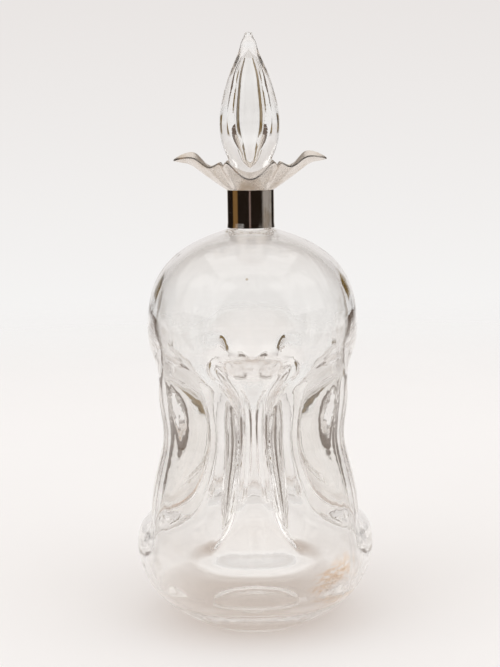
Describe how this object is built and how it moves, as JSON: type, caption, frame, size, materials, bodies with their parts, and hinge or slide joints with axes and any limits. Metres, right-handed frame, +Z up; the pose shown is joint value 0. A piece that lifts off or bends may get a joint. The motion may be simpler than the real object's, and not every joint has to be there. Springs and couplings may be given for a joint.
{
  "type": "glug glug decanter",
  "caption": "Hourglass glass decanter pinched in at the waist from four sides so that it gurgles when it pours, with a silver petal lip and a flame stopper that lifts out.",
  "frame": {"origin": "centre of the foot, on the table", "axes": "+Z up along the neck and stopper, -Y towards the viewer of the picture, +X to the viewer's right"},
  "size_m": [0.1118, 0.1118, 0.2739],
  "materials": {
    "bottle_glass": "clear blown glass, worn at the foot",
    "stopper_glass": "clear glass, fire polished, peg ground matt",
    "plaster": "dull plaster of Paris",
    "silver": "polished silver with light tarnish"
  },
  "bodies": {
    "decanter": {"glass_bottle": "bottle_glass", "collar_plaster": "plaster", "silver_collar": "silver", "silver_lip": "silver"},
    "stopper": {"glass_stopper": "stopper_glass"}
  },
  "joints": [
    {"name": "stopper_lift", "type": "slide", "parent": "decanter", "child": "stopper", "axis": [0, 0, 1], "range_m": [0, 0.048]}
  ]
}
